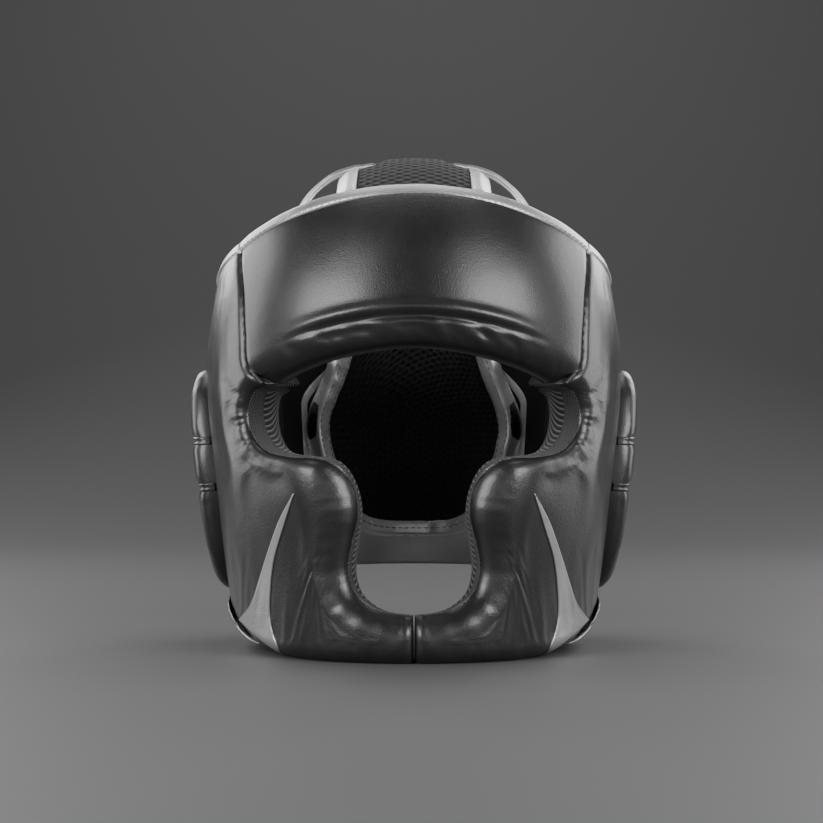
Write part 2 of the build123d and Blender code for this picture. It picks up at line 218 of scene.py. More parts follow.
def pillow(name, base, low, high, radii, materials, inner_radii=None, wall_steps=10, displace=None,
           wall_split=None, rib_reach=None):
    """Closed pad on a grid of head form points.

    radii are the rounding of its outer edges at the first row, last row, first column and last
    column, each a number or an array along that edge; inner_radii those of its inner edges.
    displace(lift, d) may change the outer lift; d holds the four edge distances. materials are
    outer, wall, inner; wall_split is the share of the wall, from outside, that is still outer.
    """
    rows, columns = base.shape[:2]
    normal = normals(base)
    down, across = arc_lengths(base, 0), arc_lengths(base, 1)
    d = (down, down[-1:] - down, across, across[:, -1:] - across)
    if inner_radii is None:
        inner_radii = [2.0] * 4

    def spread(value, k):
        value = np.asarray(value, dtype=float)
        if value.ndim == 0:
            return value
        return value[None, :] if k < 2 else value[:, None]

    def falls(rounding):
        total = 0
        for k in range(4):
            total = total + round_drop(d[k], spread(rounding[k], k))
        return total

    thickness = high - low
    outer = high - np.minimum(falls(radii), 0.62 * thickness)
    inner = low + np.minimum(falls(inner_radii), 0.52 * thickness)
    inner = np.minimum(inner, outer - 0.12 * thickness)
    if displace is not None:
        outer = displace(outer, d)
    points = [(base + normal * lift[..., None]).reshape(-1, 3) for lift in (outer, inner)]
    uv = np.stack([across, down], -1).reshape(-1, 2)
    uvs = [uv, uv]

    size = rows * columns
    quads = grid_quads(rows, columns)
    faces = quads + [(size + i, size + l, size + k, size + j) for i, j, k, l in quads]
    slots = [0] * len(quads)
    for quad in quads:
        slots.append(1 if rib_reach is not None and rib_reach(d, *divmod(quad[0], columns)) else 2)
    ring = grid_border(rows, columns)
    flat_outer, flat_inner = outer.reshape(-1), inner.reshape(-1)
    flat_base, flat_normal = base.reshape(-1, 3), normal.reshape(-1, 3)
    ring_length = arc_lengths(flat_base[ring][None], 1)[0]
    previous = ring
    first = 2 * size
    for step in range(1, wall_steps + 1):
        share = step / wall_steps
        if step < wall_steps:
            lifts = mix(flat_outer[ring], flat_inner[ring], share)
            points.append(flat_base[ring] + flat_normal[ring] * lifts[:, None])
            uvs.append(np.stack([ring_length, share * thickness * np.ones(len(ring))], -1))
            current = list(range(first, first + len(ring)))
            first += len(ring)
        else:
            current = [size + i for i in ring]
        slot = 0 if wall_split is not None and share <= wall_split else 1
        for i in range(len(ring)):
            j = (i + 1) % len(ring)
            faces.append((previous[i], current[i], current[j], previous[j]))
            slots.append(slot)
        previous = current
    return make_object(name, np.concatenate(points), faces, materials, slots, np.concatenate(uvs))


def gathers(s, count, length, depth, width, seed):
    """Irregular folds across an edge: depth of the furrows at distances s along it."""
    draw = random.Random(seed)
    total = np.zeros_like(s)
    for i in range(count):
        centre = (i + 0.5 + draw.uniform(-0.36, 0.36)) * length / count
        reach = width * draw.uniform(0.6, 1.5)
        total = total + depth * draw.uniform(0.35, 1.0) * np.exp(-(((s - centre) / reach) ** 2))
    return total


def waves(p, seed, size):
    """Slow irregular swelling over a surface, about -1 to 1."""
    draw = random.Random(seed)
    total = 0
    for _ in range(6):
        direction = np.array([draw.uniform(-1, 1) for _ in range(3)])
        direction = direction / np.linalg.norm(direction) / size / draw.uniform(0.7, 1.6)
        total = total + np.sin(2 * np.pi * (p @ direction) + draw.uniform(0, 6.28))
    return total / 3.0


def puffed(obj, held, cap, pressure=4.0, frames=20):
    """Blows a pad up by cloth simulation and applies the result.

    held is 0 to 1 for each vertex, 1 where it can't move, and cap is the furthest that one may
    move, in millimetres.
    """
    group = obj.vertex_groups.new(name="held")
    for level in range(1, 11):
        picked = np.nonzero(np.rint(np.asarray(held) * 10) == level)[0]
        group.add(picked.tolist(), level / 10, "REPLACE")
    cloth = obj.modifiers.new("cloth", "CLOTH")
    cloth.settings.vertex_group_mass = "held"
    cloth.settings.use_pressure = True
    cloth.settings.uniform_pressure_force = pressure
    cloth.settings.effector_weights.gravity = 0.0
    cloth.point_cache.frame_start = 1
    cloth.point_cache.frame_end = frames
    for step in range(1, frames + 1):
        bpy.context.scene.frame_set(step)
    swollen = obj.evaluated_get(bpy.context.evaluated_depsgraph_get()).data
    before = read_points(obj.data)
    move = read_points(swollen) - before
    length = np.linalg.norm(move, axis=-1, keepdims=True)
    move = move * (cap * MM * np.tanh(length / (cap * MM)) / np.maximum(length, 1e-9))
    obj.modifiers.remove(cloth)
    obj.vertex_groups.remove(group)
    obj.data.vertices.foreach_set("co", (before + move).ravel())
    obj.data.update()
    bpy.context.scene.frame_set(1)
    return obj


# ---------------------------------------------------------------- materials

class Surface:
    """A material, its shader and the nodes that feed it."""

    def __init__(self, name, roughness, **sockets):
        self.material = bpy.data.materials.new(name)
        self.material.use_nodes = True
        self.nodes, self.links = self.material.node_tree.nodes, self.material.node_tree.links
        self.shader = self.nodes["Principled BSDF"]
        self.normal = None
        for socket, value in {"Roughness": roughness, **sockets}.items():
            self.shader.inputs[socket.replace("_", " ")].default_value = value

    def node(self, kind, links=(), **values):
        """New node with links into its inputs and values on them."""
        node = self.nodes.new(f"ShaderNode{kind}")
        for socket, output in dict(links).items():
            self.links.new(output, node.inputs[socket])
        for socket, value in values.items():
            node.inputs[socket.replace("_", " ")].default_value = value
        return node

    def feed(self, output, socket):
        self.links.new(output, self.shader.inputs[socket])

    def place(self, kind):
        return self.node("TexCoord").outputs[kind]

    def noise(self, scale, detail):
        links = {"Vector": self.place("Object")}
        return self.node("TexNoise", links, Scale=scale, Detail=detail).outputs["Fac"]

    def cells(self, scale):
        return self.node("TexVoronoi", {"Vector": self.place("Object")}, Scale=scale).outputs["Distance"]

    def colours(self, value, *stops):
        """Base colour that runs between two stops of a value."""
        node = self.node("ValToRGB", {"Fac": value})
        for element, (position, colour) in zip(node.color_ramp.elements, stops):
            element.position = position
            element.color = (*colour, 1.0)
        self.feed(node.outputs["Color"], "Base Color")

    def roughnesses(self, value, low, high):
        node = self.node("MapRange", {"Value": value}, To_Min=low, To_Max=high)
        self.feed(node.outputs["Result"], "Roughness")

    def bump(self, height, distance, strength):
        """Bump on top of those so far."""
        links = {"Height": height}
        if self.normal is not None:
            links["Normal"] = self.normal
        self.normal = self.node("Bump", links, Distance=distance, Strength=strength).outputs["Normal"]
        self.feed(self.normal, "Normal")

    def math(self, operation, *values):
        """Result of a sum on numbers and outputs."""
        node = self.nodes.new("ShaderNodeMath")
        node.operation = operation
        for socket, value in zip(node.inputs, values):
            if isinstance(value, (int, float)):
                socket.default_value = value
            else:
                self.links.new(value, socket)
        return node.outputs[0]

    def phase(self, across_turn, up_turn):
        """Angle that grows across and up the UV map, at so many radians to its unit of 100 mm."""
        split = self.node("SeparateXYZ", {0: self.place("UV")})
        across = self.math("MULTIPLY", split.outputs[0], across_turn)
        return self.math("ADD", across, self.math("MULTIPLY", split.outputs[1], up_turn))


def leather(name, dark, light, roughness, coat=0.0, metallic=0.0):
    surface = Surface(name, roughness, Coat_Weight=coat, Coat_Roughness=0.24, Metallic=metallic,
                      Specular_IOR_Level=0.58)
    cloudy = surface.noise(38.0, 5.0)
    surface.colours(cloudy, (0.3, dark), (0.7, light))
    surface.roughnesses(cloudy, roughness - 0.06, roughness + 0.07)
    # Creases, then grain, then pores
    surface.bump(surface.noise(160.0, 6.0), 0.0006, 0.22)
    surface.bump(surface.cells(1100.0), 0.00025, 0.35)
    surface.bump(surface.noise(1500.0, 3.0), 0.0002, 0.45)
    return surface.material


def mesh_fabric(name, dark, light, spacing=4.3):
    """Spacer mesh with a hexagonal pattern of holes, the sum of three waves. The holes are painted dark as
    painted shade.
    """
    surface = Surface(name, 0.75, Sheen_Weight=0.05)
    turn = 2 * math.pi * 100.0 / spacing * 1.1547
    total = 0.0
    for x, y in ((1.0, 0.0), (0.5, 0.866), (0.5, -0.866)):
        total = surface.math("ADD", total, surface.math("COSINE", surface.phase(turn * x, turn * y)))
    holes = surface.math("DIVIDE", total, 3.0)
    # Painted shade: the holes are coloured dark and the mesh between them lighter.
    surface.colours(holes, (0.0, light), (0.34, dark))
    surface.bump(surface.math("MULTIPLY", holes, -1.0), 0.0012, 0.9)
    surface.bump(surface.noise(1800.0, 2.0), 0.0002, 0.4)
    return surface.material


def ribbed_fabric(name, dark, light, spacing, slant=0.6, sheen=0.1):
    surface = Surface(name, 0.8, Sheen_Weight=sheen)
    turn = 2 * math.pi * 100.0 / spacing
    rib = surface.math("SINE", surface.phase(turn, turn * slant))
    # The colour follows the rib relief: painted shade in the grooves and a painted highlight on the crests.
    surface.colours(rib, (0.0, dark), (0.9, light))
    surface.bump(rib, 0.0004, 0.8)
    surface.bump(surface.noise(2500.0, 2.0), 0.0002, 0.5)
    return surface.material


def grey(level):
    return (level, level, level * 1.02)


BLACK = leather("black_leather", grey(0.010), grey(0.016), 0.34, coat=0.45)
SILVER = leather("silver_leather", grey(0.42), grey(0.52), 0.30, coat=0.15, metallic=0.7)
TRIM = leather("trim_silver", grey(0.72), grey(0.86), 0.28, coat=0.2, metallic=0.4)
STRAP = leather("strap_leather", grey(0.34), grey(0.42), 0.40, coat=0.1, metallic=0.4)
MESH = mesh_fabric("spacer_mesh", grey(0.0008), grey(0.010))
LINING = ribbed_fabric("lining_fabric", grey(0.002), grey(0.007), spacing=1.1, slant=1.0, sheen=0.02)
# Its rib crests are painted far lighter than its grooves: a painted highlight on the ribs and painted shade
# between them.
RIB = ribbed_fabric("ribbed_lining", grey(0.005), grey(0.13), spacing=1.9)
THREAD, DARK_THREAD, EDGE_THREAD = (
    Surface(name, 0.6, Base_Color=(*grey(level), 1.0)).material
    for name, level in (("thread", 0.5), ("dark_thread", 0.28), ("edge_thread", 0.16))
)


# ---------------------------------------------------------------- forehead

def top_z(turn):
    return 237.5 - 21.0 * (np.abs(turn) / 64.0) ** 2.1


def brow_z(turn):
    return 169.0 - 17.0 * (np.abs(turn) / 43.0) ** 1.8


def mirrored(obj, name):
    """Copy of a left piece for the right side."""
    mesh = obj.data.copy()
    mesh.name = name
    points = read_points(mesh)
    points[:, 0] *= -1
    mesh.vertices.foreach_set("co", points.ravel())
    mesh.flip_normals()
    copy = bpy.data.objects.new(name, mesh)
    bpy.context.scene.collection.objects.link(copy)
    return copy


def settle(piece, body, slot_name, *nodes, fill=None):
    """Puts a piece on its body and hides the CAD nodes it stands for. Its material slot and its fill are
    not used.
    """
    if nodes:
        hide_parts(*nodes)
    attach(piece, body)
    return piece


def both(build, base_name, body, slot_name, *nodes, fill=None):
    """Builds the wearer's left piece and its mirror image. body may hold SIDE."""
    left = build(f"left_{base_name}")
    right = mirrored(left, f"right_{base_name}")
    for piece, side in ((left, "left"), (right, "right")):
        own = [f"{side}_{n}" for n in nodes]
        settle(piece, body.replace("SIDE", side), slot_name, *own, fill=fill)
    return left, right


def forehead_base(rows, columns):
    """Points of the forehead pad's own rectangle, top row first."""
    share = 1 - rows
    edge = along(SEAM, share)
    up = (edge[:, 1] - brow_z(edge[:, 0])) / (top_z(edge[:, 0]) - brow_z(edge[:, 0]))
    half = edge[:, 0] - 0.2
    turns = half[:, None] * (2 * columns[None, :] - 1)
    heights = mix(brow_z(turns), top_z(turns), up[:, None])
    return at_turn(turns, heights)


BROW_ROLL = 14.0
forehead_points = forehead_base(
    edge_shares(85.0, NEAR, 34, NEAR[:10]), edge_shares(200.0, NEAR[:9], 190, NEAR[:9]))


def forehead_shape(lift, d):
    """The brow roll under its furrow, with gathers, and a slight dent over the whole panel."""
    from_brow = d[1]
    s = d[2]
    length = float(s.max())
    from_side = np.minimum(d[2], d[3])
    corner = smooth(14, 58, from_side)
    lift = lift - 2.0 * bell(from_brow, BROW_ROLL, 1.4) * corner
    lift = lift + 1.9 * bell(from_brow, BROW_ROLL + 4.2, 2.8) * corner
    folds = gathers(s + 0.08 * from_brow, 15, length, 2.3, 3.9, 11)
    lift = lift - folds * bell(from_brow, BROW_ROLL - 4.6, 3.2) * smooth(12, 40, from_side)
    folds = gathers(s - 0.2 * from_brow, 26, length, 0.8, 1.9, 12)
    lift = lift - folds * bell(from_brow, 4.0, 3.4)
    lift = lift + 0.35 * waves(forehead_points, 5, 60.0) * smooth(10, 30, from_brow)
    return lift


forehead = pillow(
    "forehead_pad", forehead_points, 0.0, PAD, (2.5, 15.0, 3.2, 3.2), [BLACK, RIB, LINING],
    displace=forehead_shape, wall_split=0.12, inner_radii=(2.0, 16.0, 2.0, 2.0),
    rib_reach=lambda d, r, c: d[1][r, c] < 20.0,
)
settle(forehead, "shell", "black_leather",
       "forehead_cover", "forehead_foam", "forehead_lining", "brow_edge", fill=0.8)


# ---------------------------------------------------------------- side pads

SIDE_COLUMNS = 330
seam_part = [(turn + 0.2, z) for turn, z in reversed(SEAM)]
INNER = seam_part + OPENING
down_share = np.linspace(0, 1, SIDE_COLUMNS)
# More rows close to the top edge and the chin seam, where the pad is rounded
down_share = np.unique(np.concatenate([
    down_share, np.linspace(0, 0.012, 7), 1 - np.linspace(0, 0.016, 9)]))
inner_line, rim_line = along(INNER, down_share), along(RIM, down_share)
side_width = np.linalg.norm(at_turn(*rim_line.T) - at_turn(*inner_line.T), axis=-1)
across_share = edge_shares(side_width, NEAR, 34, NEAR[:11])
side_points = at_turn(
    mix(inner_line[:, :1], rim_line[:, :1], across_share),
    mix(inner_line[:, 1:], rim_line[:, 1:], across_share),
)
seam_share = (len(SEAM) - 0.5) / (len(INNER) - 1)
open_edge = smooth(seam_share - 0.02, seam_share + 0.03, down_share)
side_inner_radius = mix(2.0, 17.0, open_edge)


def nearest_on(line, points):
    """Distance from each point to a line of points, and the share of the line that is nearest."""
    distance = np.full(points.shape[:-1], np.inf)
    place = np.zeros(points.shape[:-1])
    for i, spot in enumerate(line):
        here = np.linalg.norm(points - spot, axis=-1)
        place = np.where(here < distance, i / (len(line) - 1), place)
        distance = np.minimum(distance, here)
    return distance, place


opening_line = along(INNER, np.linspace(len(SEAM) - 1, len(INNER) - 1, 420) / (len(INNER) - 1))
opening_line = at_turn(opening_line[:, 0], opening_line[:, 1])
seam_line = along(SEAM, np.linspace(0.0, 1.0, 90))
seam_line = at_turn(seam_line[:, 0] + 0.2, seam_line[:, 1])
from_open, open_place = nearest_on(opening_line, side_points)
from_seam, _ = nearest_on(seam_line, side_points)
open_run = open_place * arc_lengths(opening_line[None], 1)[0, -1]
# Along the opening: horn under the forehead, eye corner, under the eye, cheek, mouth, chin
OPEN_PLACES = (0.0, 0.04, 0.10, 0.16, 0.26, 0.36, 0.44, 0.50, 0.56, 0.62, 0.75, 0.87, 1.0)
RADII = (10.0, 8.0, 6.0, 5.0, 5.0, 5.5, 8.0, 12.0, 15.0, 14.0, 12.0, 12.0, 12.0)
GATHERS = (0.0, 0.2, 0.8, 0.9, 0.6, 0.05, 0.0, 0.05, 0.2, 0.35, 0.25, 0.45, 0.9)
side_radius = np.interp(open_place, OPEN_PLACES, RADII)
gathered = np.interp(open_place, OPEN_PLACES, GATHERS)


def side_shape(lift, d):
    """Rounding and gathers along the face opening and the seam, with the cheek and jaw swelling."""
    lift = lift - np.minimum(round_drop(from_open, side_radius) + round_drop(from_seam, 3.5), 18.0)
    length = float(open_run.max())
    folds = gathers(open_run, 52, length, 0.7, 1.4, 21)
    lift = lift - folds * bell(from_open, 2.5, 3.0) * gathered
    folds = gathers(open_run, 26, length, 1.5, 2.4, 22)
    lift = lift - folds * bell(from_open, 8.0, 5.0) * gathered
    from_rim, s = d[3], d[0][:, :1] + 0 * d[0]
    folds = gathers(s, 34, float(s.max()), 0.7, 2.6, 23)
    lift = lift - folds * bell(from_rim, 6.0, 5.0) * smooth(0.55, 0.7, down_share)[:, None]
    # The cheek's lobe swells between its edge and the jaw
    turn, height = mix(inner_line[:, :1], rim_line[:, :1], across_share), side_points[..., 2]
    lobe = bell(turn, 30.0, 9.5) * bell(height, 93.0, 21.0)
    return lift + 3.6 * lobe + 0.45 * waves(side_points, 6, 70.0)


def build_side(name):
    pad = pillow(
        name, side_points, 0.0, PAD, (2.5, 4.0, 0.0, 10.0), [BLACK, RIB, LINING],
        displace=side_shape, wall_split=0.12, inner_radii=(2.0, 2.0, side_inner_radius, 3.0),
        rib_reach=lambda d, r, c: d[2][r, c] < 22.0 and open_edge[r] > 0.5,
    )
    # The outer face is free between its edges
    rim_gap = arc_lengths(side_points[:, ::-1], 1)[:, ::-1]
    top_gap, seam_gap = arc_lengths(side_points, 0), arc_lengths(side_points[::-1], 0)[::-1]
    nearest = np.minimum.reduce([from_open, from_seam, rim_gap, top_gap, seam_gap])
    held = np.ones(len(pad.data.vertices))
    held[:nearest.size] = 1 - smooth(2.0, 12.0, nearest).ravel()
    return puffed(pad, held, 1.3, pressure=5.0)


left_side, _ = both(build_side, "side_pad", "shell", "black_leather",
                    "side_cover", "side_foam", "side_lining", "face_edge", fill=0.8)


# ---------------------------------------------------------------- trims and stitches

def tangents(points):
    """Unit tangents along a line of points."""
    ahead = np.gradient(points, axis=0)
    return ahead / np.linalg.norm(ahead, axis=-1, keepdims=True)


def resampled(points, pitch):
    length = arc_lengths(points[None], 1)[0]
    count = max(2, int(length[-1] / pitch) + 1)
    wanted = np.linspace(0, length[-1], count)
    return np.stack([np.interp(wanted, length, points[:, k]) for k in range(3)], -1)


def sweep(name, path, up, section, material, closed=False):
    """Strip or tube: a closed section of (side, up) offsets carried along a path."""
    if closed:
        ahead = tangents(np.concatenate([path[-1:], path, path[:1]]))[1:-1]
    else:
        ahead = tangents(path)
    side = np.cross(ahead, up)
    side = side / np.linalg.norm(side, axis=-1, keepdims=True)
    count, around = len(path), section.shape[-2]
    section = np.broadcast_to(section, (count, around, 2))
    points = path[:, None] + side[:, None] * section[..., :1] + up[:, None] * section[..., 1:]
    length = arc_lengths(path[None], 1)[0]
    girth_length = arc_lengths(np.concatenate([section[0], section[0][:1]])[None], 1)[0][:-1]
    uvs = np.stack(np.broadcast_arrays(length[:, None], girth_length[None]), -1).reshape(-1, 2)
    faces = []
    for i in range(count if closed else count - 1):
        for j in range(around):
            a, b = i * around, ((i + 1) % count) * around
            k = (j + 1) % around
            faces.append((a + j, a + k, b + k, b + j))
    if not closed:
        faces.append(tuple(range(around))[::-1])
        faces.append(tuple((count - 1) * around + j for j in range(around)))
    return make_object(name, points.reshape(-1, 3), faces, [material], None, uvs)


def rounded_box(low, high, radius, steps=4):
    """Closed section: a rectangle between two corners with rounded corners."""
    (x0, y0), (x1, y1) = low, high
    points = []
    for cx, cy, start in ((x1 - radius, y1 - radius, 0), (x0 + radius, y1 - radius, 90),
                          (x0 + radius, y0 + radius, 180), (x1 - radius, y0 + radius, 270)):
        for k in range(steps + 1):
            a = math.radians(start + 90 * k / steps)
            points.append((cx + radius * math.cos(a), cy + radius * math.sin(a)))
    return np.array(points)


def circle(radius, steps=10):
    angle = np.arange(steps) * 2 * np.pi / steps
    return radius * np.stack([np.cos(angle), np.sin(angle)], -1)


def stitches(name, path, up, material, pitch=3.8, length=2.6, radius=0.38):
    """A row of separate stitches lying along a path."""
    total = arc_lengths(path[None], 1)[0]
    count = int(total[-1] / pitch)
    points, faces = [], []
    for i in range(count):
        ends = [(i + 0.5) * pitch + e * length / 2 for e in (-1.0, -0.6, 0.0, 0.6, 1.0)]
        centres = np.stack([np.interp(ends, total, path[:, k]) for k in range(3)], -1)
        lift = np.stack([np.interp(ends, total, up[:, k]) for k in range(3)], -1)
        ahead = centres[-1] - centres[0]
        ahead = ahead / np.linalg.norm(ahead)
        side = np.cross(ahead, lift[2])
        side = side / np.linalg.norm(side)
        first = len(points)
        for ring, (centre, swell) in enumerate(zip(centres, (0.35, 0.85, 1.0, 0.85, 0.35))):
            sink = (-0.5, -0.1, 0.0, -0.1, -0.5)[ring] * radius
            for out_by, up_by in circle(swell * radius, 6):
                points.append(centre + lift[2] * (sink + up_by) + side * out_by)
        for ring in range(4):
            for k in range(6):
                a, b = first + 6 * ring + k, first + 6 * ring + (k + 1) % 6
                faces.append((a, b, b + 6, a + 6))
        faces.append(tuple(first + k for k in range(6))[::-1])
        faces.append(tuple(first + 24 + k for k in range(6)))
    return make_object(name, points, faces, [material])


def tree_of(obj):
    """Search tree over a piece's mesh, in millimetres."""
    points = [Vector(p) for p in read_points(obj.data) / MM]
    return BVHTree.FromPolygons(points, [tuple(p.vertices) for p in obj.data.polygons])


def plate(name, places, normal, thickness, radius, material, sink=0.6, wave=None):
    """Thin closed sheet that lies on a surface: its top stands thickness above the places."""
    rows, columns = places.shape[:2]
    down, across = arc_lengths(places, 0), arc_lengths(places, 1)
    top = thickness - round_drop(edge_gap(places), radius)
    if wave is not None:
        top = top + wave(down, across)
    points = np.concatenate([places + normal * top[..., None], places - normal * sink])
    size = rows * columns
    uv = np.stack([across, down], -1).reshape(-1, 2)
    faces = []
    for quad in grid_quads(rows, columns):
        faces.append(quad)
        faces.append(tuple(size + i for i in quad[::-1]))
    ring = grid_border(rows, columns)
    for i, a in enumerate(ring):
        b = ring[(i + 1) % len(ring)]
        faces.append((b, a, size + a, size + b))
    return make_object(name, points.reshape(-1, 3), faces, [material], None, np.concatenate([uv, uv]))


def laid(name, base, lift, thickness, radius, material, sink=0.0, wave=None):
    """Such a sheet at a lift over head form points."""
    normal = normals(base)
    places = base + normal * np.asarray(lift)[..., None]
    return plate(name, places, normal, thickness, radius, material, sink, wave)


def block(turns, heights, rows, columns):
    """Head form points between two turns and two heights."""
    across = np.linspace(turns[0], turns[1], columns)[None]
    up = np.linspace(1, 0, rows)[:, None]
    return at_turn(across + 0 * up, mix(heights[0], heights[1], up) + 0 * across)


# Silver binding along the top edges, with a row of stitches this far out and down
STITCH_OUT, STITCH_DOWN = 0.95, 1.9


def bound_edge(name, turns, height_of, columns):
    turn = np.linspace(turns[0], turns[1], columns)
    crest = height_of(turn)
    edge = at_turn(turn, crest)
    out = normals(edge)
    path = edge + out * (PAD / 2)
    ahead = tangents(path)
    up = np.cross(out, ahead)
    up = up * np.sign(up[:, 2:])
    # Section: side runs through the thickness, up runs up the pad
    section = rounded_box((-PAD / 2 - 0.9, -3.6), (PAD / 2 + 0.9, 4.9), 2.6, 5)
    length = arc_lengths(path[None], 1)[0]
    ripple = 0.25 * np.sin(length / 5.1) * np.sin(length / 17.0 + 1.0)
    sections = np.repeat(section[None], len(path), 0)
    sections[..., 1] += np.where(section[None, :, 1] > 2, ripple[:, None], 0)
    return sweep(name, path, up, sections, SILVER), edge, out, up


binding, edge, out, up = bound_edge("forehead_binding_trim", (-63.4, 63.4), top_z, 240)
settle(binding, "shell", "silver_leather", "forehead_binding")
row = stitches("forehead_binding_stitches", edge + out * (PAD + STITCH_OUT) - up * STITCH_DOWN, out, THREAD)
settle(row, "shell", "silver_leather")


def side_top_z(turn):
    return mix(216.5, 193.0, (turn - 64.0) / 54.0)


def build_side_binding(name):
    return bound_edge(name, (64.3, 117.9), side_top_z, 110)[0]


both(build_side_binding, "side_binding_trim", "shell", "silver_leather", "side_binding")


def build_side_stitches(name):
    turn = np.linspace(65.0, 117.0, 80)
    edge = at_turn(turn, side_top_z(turn))
    out = normals(edge)
    up = np.cross(out, tangents(edge))
    up = up * np.sign(up[:, 2:])
    return stitches(name, edge + out * (PAD + STITCH_OUT) - up * STITCH_DOWN, out, THREAD)


both(build_side_stitches, "side_binding_stitches", "shell", "silver_leather")

# Piping in the seams between the forehead and the sides
def build_seam_piping(name):
    edge = along(SEAM, np.linspace(0.0, 1.0, 90))
    base = at_turn(edge[:, 0], edge[:, 1])
    out = normals(base)
    return sweep(name, base + out * (PAD - 3.6), out, circle(1.1), BLACK)


both(build_seam_piping, "seam_piping", "shell", "black_leather")

side_tree = tree_of(left_side)


def wall_line(obj, base, picked, share):
    """Line on a pad's wall at a share of its height from outside, along picked grid points."""
    points = read_points(obj.data) / MM
    return mix(points[picked], points[base.shape[0] * base.shape[1] + picked], share)


def edge_stitches(name, obj, base, picked, inward):
    """Small stitches where the leather meets the ribbed lining; inward is off the pad's edge."""
    line = wall_line(obj, base, picked, 0.07)
    up = inward + normals(base.reshape(-1, 3)[picked])
    up = up / np.linalg.norm(up, axis=-1, keepdims=True)
    return stitches(name, line + inward * 0.1, up, EDGE_THREAD, pitch=2.2, length=1.3, radius=0.24)


def off_edge(edge, beside):
    return (edge - beside) / np.linalg.norm(edge - beside, axis=-1, keepdims=True)


def build_face_stitches(name):
    lines = np.nonzero(open_edge > 0.6)[0]
    return edge_stitches(name, left_side, side_points, lines * side_points.shape[1],
                         off_edge(side_points[lines, 0], side_points[lines, 1]))


both(build_face_stitches, "face_edge_stitches", "shell", "black_leather")
last = forehead_points.shape[0] - 1
brow_row = edge_stitches("brow_edge_stitches", forehead, forehead_points,
                         last * forehead_points.shape[1] + np.arange(forehead_points.shape[1]),
                         off_edge(forehead_points[-1], forehead_points[-2]))
settle(brow_row, "shell", "black_leather")


# ---------------------------------------------------------------- cheek accents

def build_accent(name):
    """A blade that tapers to its tip, laid on the cheek."""
    rows = 70
    down = np.linspace(0, 1, rows)
    front = along([(65.0, 91.5), (71.4, 72.5), (76.8, 55.0), (79.3, 36.0), (79.0, 18.5), (73.0, 1.4)], down)
    rear = along([(65.4, 91.3), (74.0, 75.5), (81.0, 57.0), (86.0, 42.0), (91.0, 28.5), (99.6, 17.2)], down)
    share = np.linspace(0, 1, 12)[None, :, None]
    flat = mix(front[:, None], rear[:, None], share)
    places, directions = np.zeros((rows, 12, 3)), np.zeros((rows, 12, 3))
    for index in np.ndindex(rows, 12):
        x, z = flat[index]
        hit, hit_normal, _, _ = side_tree.ray_cast(Vector((x, -200.0, z)), Vector((0, 1, 0)))
        if hit is None:
            hit, hit_normal = Vector((x, places[index[0] - 1, index[1], 1], z)), Vector((0, -1, 0))
        places[index], directions[index] = hit, hit_normal
    directions = directions / np.linalg.norm(directions, axis=-1, keepdims=True)
    return plate(name, places, directions, 0.75, 0.5, SILVER)


both(build_accent, "cheek_accent_blade", "shell", "silver_leather", "cheek_accent")


# ---------------------------------------------------------------- ear guards

EAR_Y, EAR_Z = 26.0, 96.0
ROLL = 12.6
# Half widths and half heights of the ear roll's hole and outside
EAR_HOLE, EAR_RIM = (11.0, 36.0), (31.5, 65.5)


def ear_places(y, z, lift):
    """Points on the outside of the side pad, at places seen from the side, raised by lift."""
    places = np.zeros(y.shape + (3,))
    for index in np.ndindex(y.shape):
        hit, _, _, _ = side_tree.ray_cast(Vector((200.0, y[index], z[index])), Vector((-1, 0, 0)))
        if hit is None or hit.x < 80:
            width, depth, middle = girth(z[index])
            reach = math.sqrt(max(0.0, 1 - ((y[index] - middle) / (depth + PAD)) ** 2))
            hit = Vector(((float(width) + PAD) * reach, y[index], z[index]))
        places[index] = hit
    form = places.copy()
    out = normals(form)
    out[..., 2] *= 0.4
    out = out / np.linalg.norm(out, axis=-1, keepdims=True)
    return places + out * np.asarray(lift)[..., None], out


def ear_ring(angle, across):
    """Side view place on the roll: angle round the oval, across from 0 at its hole to 1 outside."""
    half = [mix(hole, rim, across) for hole, rim in zip(EAR_HOLE, EAR_RIM)]
    return EAR_Y + half[0] * np.sin(angle), EAR_Z + half[1] * np.cos(angle)


BAND_HEIGHTS = (119.0, 92.0)


def pinch(z):
    """How much the bands squeeze the roll at a height, 0 to 1."""
    return sum(bell(z, height, 3.2) for height in BAND_HEIGHTS)


def build_ear_roll(name):
    turns, ring = 150, 30
    angle = np.linspace(0, 2 * np.pi, turns, endpoint=False)[:, None]
    share = np.linspace(0, 1, ring)[None, :]
    phi = np.pi * share
    across = 0.5 - 0.5 * np.cos(phi) + 0 * angle
    y, z = ear_ring(angle, across)
    rounded = np.sin(phi) ** 0.62
    squeeze = 1 - 0.15 * pinch(z) + 0.05 * smooth(90, 94, z) * (1 - smooth(117, 121, z))
    near_hole, near_rim = bell(share, 0.15, 0.12), bell(share, 0.88, 0.1)
    creases = 0.35 * np.sin(angle * 19 + 2 * np.sin(angle * 5)) * near_hole
    creases = creases + 0.5 * np.sin(angle * 23 + 3 * np.sin(angle * 3)) * near_rim
    lift = ROLL * rounded * squeeze + creases * rounded - 0.8
    top, _ = ear_places(y, z, lift)
    base, _ = ear_places(y[:, 1:-1], z[:, 1:-1], -1.6 + 0 * y[:, 1:-1])
    points = np.concatenate([top, base[:, ::-1]], axis=1)
    around = points.shape[1]
    faces = []
    for i in range(turns):
        a, b = i * around, ((i + 1) % turns) * around
        for j in range(around):
            k = (j + 1) % around
            faces.append((a + j, b + j, b + k, a + k))
    return make_object(name, points.reshape(-1, 3), faces, [BLACK])


both(build_ear_roll, "ear_roll", "shell", "black_leather", "ear_cover", "ear_foam", fill=0.9)


